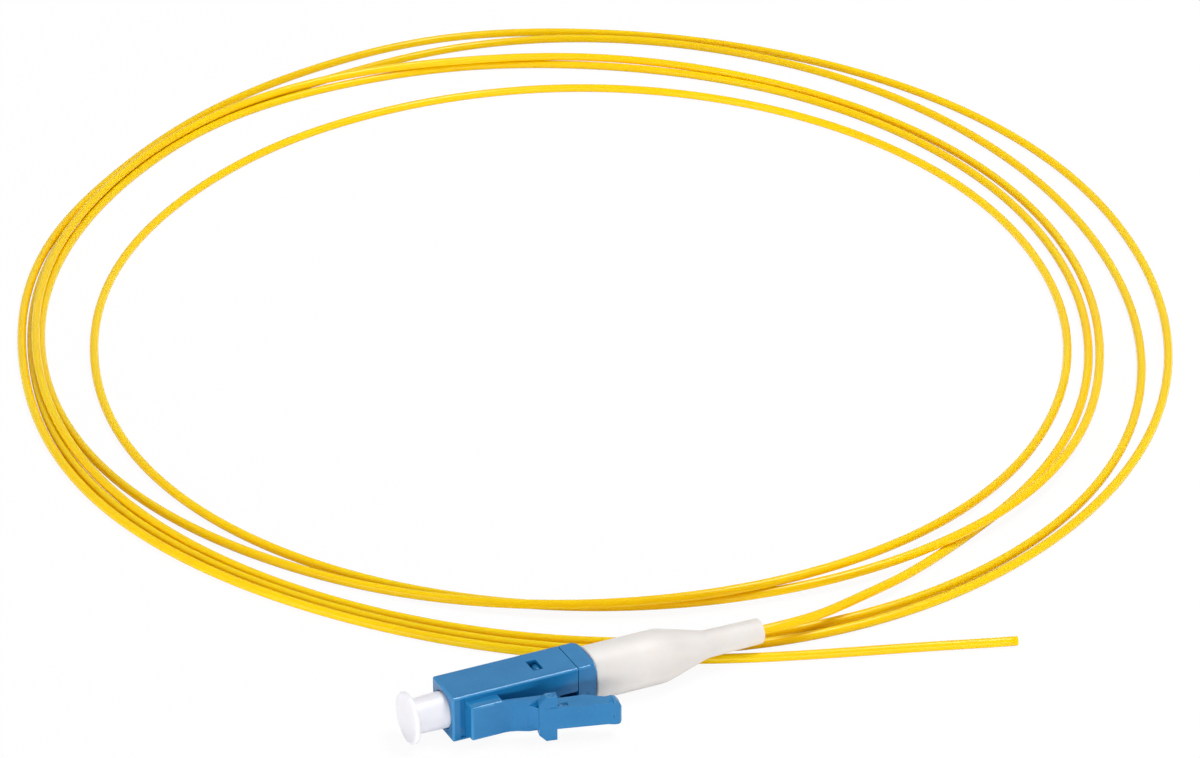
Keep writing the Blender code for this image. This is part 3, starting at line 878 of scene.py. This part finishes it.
NICKEL = colour(204, 200, 190)
NICKEL_DARK = colour(170, 166, 158)
CERAMIC = colour(244, 244, 238)
CERAMIC_SHADE = colour(236, 236, 230)
STEEL = colour(196, 198, 202)
STEEL_DARK = colour(150, 152, 158)
GROUND_GRAINS = (16000.0, 60.0, 60.0)
STAIN_GRAINS = 700.0
GROUND_DEPTH = 0.003 * MM


def softened(corners, steps=5):
    """An outline from corners of (place, radius, rounding), each rounded corner turned into an arc."""
    outline = []
    for i, (x, y, soft) in enumerate(corners):
        here = Vector((x, y))
        if not soft:
            outline.append((x, y))
            continue
        back_way = (Vector(corners[i - 1][:2]) - here).normalized()
        next_way = (Vector(corners[(i + 1) % len(corners)][:2]) - here).normalized()
        half = back_way.angle(next_way) / 2
        centre = here + (back_way + next_way).normalized() * (soft / math.sin(half))
        first = here + back_way * (soft / math.tan(half)) - centre
        last = here + next_way * (soft / math.tan(half)) - centre
        total = first.angle(last)
        for k in range(steps + 1):
            share = k / steps
            spoke = (first * math.sin((1 - share) * total) + last * math.sin(share * total)) / math.sin(total)
            outline.append(tuple(centre + spoke))
    return outline


def ground(name, main, dark, roughness, metallic):
    """A turned or ground ceramic or metal with fine marks round the plug's axis."""
    made, nodes = finish(name)
    place = nodes.add("ShaderNodeTexCoord")["Object"]
    along_axis = nodes.add("ShaderNodeMapping", None, {"Vector": place, "Scale": GROUND_GRAINS})["Vector"]
    marks = nodes.noise(along_axis, 1.0, 2.0)
    slow = nodes.noise(place, STAIN_GRAINS)
    close_finish(
        nodes,
        Base_Color=nodes.mixed(nodes.spread(slow, 0.35, 0.65), main, dark),
        Metallic=metallic,
        Roughness=nodes.spread(marks, 0.3, 0.7, roughness - 0.05, roughness + 0.08),
        Normal=nodes.bumped(marks, GROUND_DEPTH),
    )
    return made


ferrule_outline = softened([
    (5.5, 0.06, 0),
    (5.5, 0.625, 0.06),
    (-1.24, 0.625, 0.1),
    (-1.5, 0.46, 0.08),
    (-1.52, 0.06, 0),
])
ceramic = ground("ceramic", CERAMIC, CERAMIC_SHADE, roughness=0.14, metallic=0.0)
ferrule = turned("ferrule", ferrule_outline, ceramic)
finished(ferrule, "ferrule_ground", ceramic, "ferrule", "ceramic", "ferrule")

holder_outline = softened([
    (11.1, 0.48, 0),
    (11.1, 0.9, 0.08),
    (5.5, 0.9, 0.04),
    (5.5, 1.5, 0.1),
    (4.3, 1.5, 0.12),
    (4.3, 0.66, 0.05),
    (5.53, 0.66, 0),
    (5.53, 0.48, 0),
])
nickel = ground("holder_metal", NICKEL, NICKEL_DARK, roughness=0.26, metallic=1.0)
holder = turned("holder", holder_outline, nickel)
finished(holder, "ferrule_holder_turned", nickel, "ferrule", "holder_metal", "ferrule_holder")


COIL_STEPS = 24
WIRE_SIDES = 14


def spring_tree():
    """A tree that winds a wire spring along Z, with a close turn at each end."""
    tree, nodes, given = shape_tree(
        "wound_spring",
        Coils="Float",
        Coil_radius="Float",
        Length="Float",
        Wire_radius="Float",
        Finish="Material",
    )
    wound = {
        "Resolution": COIL_STEPS,
        "Rotations": given["Coils"],
        "Start Radius": given["Coil radius"],
        "End Radius": given["Coil radius"],
        "Height": given["Length"],
    }
    spiral = nodes.add("GeometryNodeCurveSpiral", None, wound)["Curve"]
    share = nodes.add("GeometryNodeSplineParameter")["Factor"]
    eased_share = nodes.add(
        "ShaderNodeMapRange",
        {"interpolation_type": "SMOOTHSTEP"},
        {0: share, 1: 0.1, 2: 0.9, 3: 0.0, 4: 1.0},
    )["Result"]
    pressed = share * 0.35 + eased_share * 0.65
    own_place = nodes.add("GeometryNodeInputPosition")["Position"]
    parts = nodes.add("ShaderNodeSeparateXYZ", None, {0: own_place})
    eased_place = {0: parts["X"], 1: parts["Y"], 2: pressed * given["Length"]}
    place = nodes.add("ShaderNodeCombineXYZ", None, eased_place)["Vector"]
    moved = nodes.add("GeometryNodeSetPosition", None, {"Geometry": spiral, "Position": place})["Geometry"]
    wire_size = {"Resolution": WIRE_SIDES, "Radius": given["Wire radius"]}
    wire = nodes.add("GeometryNodeCurvePrimitiveCircle", None, wire_size)["Curve"]
    swept = {"Curve": moved, "Profile Curve": wire, "Fill Caps": True}
    close_shape(nodes, nodes.add("GeometryNodeCurveToMesh", None, swept)["Mesh"], given["Finish"])
    return tree


SPRING_START = 5.76 * MM
SPRING_END = 8.0 * MM
steel = ground("spring_steel", STEEL, STEEL_DARK, roughness=0.3, metallic=1.0)
spring = working("spring_working", bpy.data.meshes.new("spring"))
shaped(
    spring,
    spring_tree(),
    Coils=5.0,
    Coil_radius=1.35 * MM,
    Length=SPRING_END - SPRING_START,
    Wire_radius=0.15 * MM,
    Finish=steel,
)
spring.data.transform(Matrix.Translation((SPRING_START, 0, 0)) @ Matrix.Rotation(math.pi / 2, 4, "Y"))
spring_front = PLUG @ Vector((SPRING_START, 0, 0))
spring_rear = PLUG @ Vector((SPRING_END, 0, 0))
finished(
    spring,
    "ferrule_spring",
    steel,
    ("ferrule", "plug", spring_front, spring_rear),
    "spring_steel",
    "spring",
)

# Dust cap
#
# Soft white cap on the ferrule. Its hollow neck enters the round mouth of the nose, and a thumb and
# finger pull it off by its round flange.

CAP_WHITE = colour(238, 237, 242)
CAP_SHADE = colour(232, 231, 237)
# Paler white for the cap's rounded edges: partly wear, partly a painted highlight.
CAP_WORN_AND_HIGHLIT = colour(245, 245, 249)

cap_finish = moulded(
    "cap_plastic", CAP_WHITE, CAP_SHADE, CAP_WORN_AND_HIGHLIT, roughness=0.36, grain_depth=FINE_DEPTH, scatter=0.35
)
cap_outline = softened([
    (2.8, 0.725, 0.05),
    (2.8, 1.66, 0.15),
    (0.3, 1.72, 0),
    (-3.16, 1.62, 0.22),
    (-3.14, 2.44, 0.17),
    (-3.6, 2.44, 0.2),
    (-3.58, 1.7, 0),
    (-3.55, 0, 0),
    (-1.8, 0, 0),
    (-1.8, 0.725, 0.1),
])
cap = turned("cap", cap_outline, cap_finish)
finished(cap, "dust_cap_moulding", cap_finish, "cap", "cap_plastic", "dust_cap")

# Boot
#
# Soft white strain relief pushed over the back body's post: a straight sleeve, a cone that blends into
# a thin tail, and a small hole that the fibre leaves by.

BOOT_WHITE = colour(229, 225, 221)
BOOT_SHADE = colour(222, 217, 213)
# Paler white for the boot's rounded edges: partly wear, partly a painted highlight.
BOOT_WORN_AND_HIGHLIT = colour(236, 233, 230)
BOOT_DEPTH = 0.012 * MM

boot_finish = moulded(
    "boot_rubber", BOOT_WHITE, BOOT_SHADE, BOOT_WORN_AND_HIGHLIT, roughness=0.5, grain_depth=BOOT_DEPTH, scatter=0.7
)
boot_outline = softened(
    [
        (14.32, 1.6, 0),
        (14.32, 2.55, 0.12),
        (21.72, 2.55, 4.5),
        (26.32, 1.31, 2.2),
        (32.02, 1.2, 0.14),
        (32.02, 0.5, 0.08),
        (17.7, 0.5, 0),
        (17.7, 1.6, 0),
    ],
    steps=9,
)
boot = turned("boot", boot_outline, boot_finish)
finished(boot, "boot_moulding", boot_finish, "plug", "boot_rubber", "boot")

# Floor and lights
#
# A plain white sweep in an even white room, and four soft lights: the main one above, a weak one behind
# that the plug's top reflects, and two low ones, in front of the latch's side and before the cap.

FLOOR_SIZE = 3.0
PAPER = colour(252, 252, 252)
PAPER_SHADE = colour(248, 248, 248)
PAPER_GRAINS = 900.0
SEEN_GLOW = 0.93
ROOM_GLOW = 0.4
WHITE = (1.0, 1.0, 1.0, 1.0)
TARGET = (0.02, 0.05, 0.0)

shape = bmesh.new()
bmesh.ops.create_grid(shape, x_segments=1, y_segments=1, size=FLOOR_SIZE)
floor = bpy.data.objects.new("floor", mesh_from("floor", shape))
scene.collection.objects.link(floor)
paper, nodes = finish("floor_paper")
place = nodes.add("ShaderNodeTexCoord")["Object"]
fibres = nodes.noise(place, PAPER_GRAINS, detail=3.0)
paper_tone = nodes.mixed(fibres, PAPER, PAPER_SHADE)
paper_sheet = nodes.add("ShaderNodeBsdfDiffuse", None, {"Color": paper_tone})["BSDF"]
glow = nodes.add("ShaderNodeEmission", None, {"Color": WHITE, "Strength": 1.0})["Emission"]
seen = nodes.add("ShaderNodeLightPath")["Is Camera Ray"] * SEEN_GLOW
sweep = nodes.add("ShaderNodeMixShader", None, {0: seen, 1: paper_sheet, 2: glow})["Shader"]
nodes.add("ShaderNodeOutputMaterial", None, {"Surface": sweep})
floor.data.materials.append(paper)


def soft_light(name, place, width, height, watts):
    """A large white rectangular light that faces the target."""
    data = bpy.data.lights.new(name, "AREA")
    data.shape = "RECTANGLE"
    data.size = width
    data.size_y = height
    data.energy = watts
    light = bpy.data.objects.new(name, data)
    light.location = place
    light.rotation_mode = "QUATERNION"
    light.rotation_quaternion = (Vector(TARGET) - Vector(place)).to_track_quat("-Z", "Y")
    scene.collection.objects.link(light)


soft_light("key", (0.26, 0.0, 0.66), width=0.32, height=0.2, watts=3.0)
soft_light("back_glow", (0.33, 0.69, 0.37), width=0.7, height=0.4, watts=0.2)
soft_light("front_fill", (-0.25, -0.85, 0.09), width=0.7, height=0.14, watts=2.6)
soft_light("nose_fill", (-0.75, -0.2, 0.14), width=0.5, height=0.24, watts=2.1)
room = bpy.data.worlds.new("room")
room.use_nodes = True
room.node_tree.nodes.clear()
room_nodes = Nodes(room.node_tree)
white = room_nodes.add("ShaderNodeBackground", None, {"Color": WHITE, "Strength": ROOM_GLOW})
room_nodes.add("ShaderNodeOutputWorld", None, {"Surface": white["Background"]})
scene.world = room
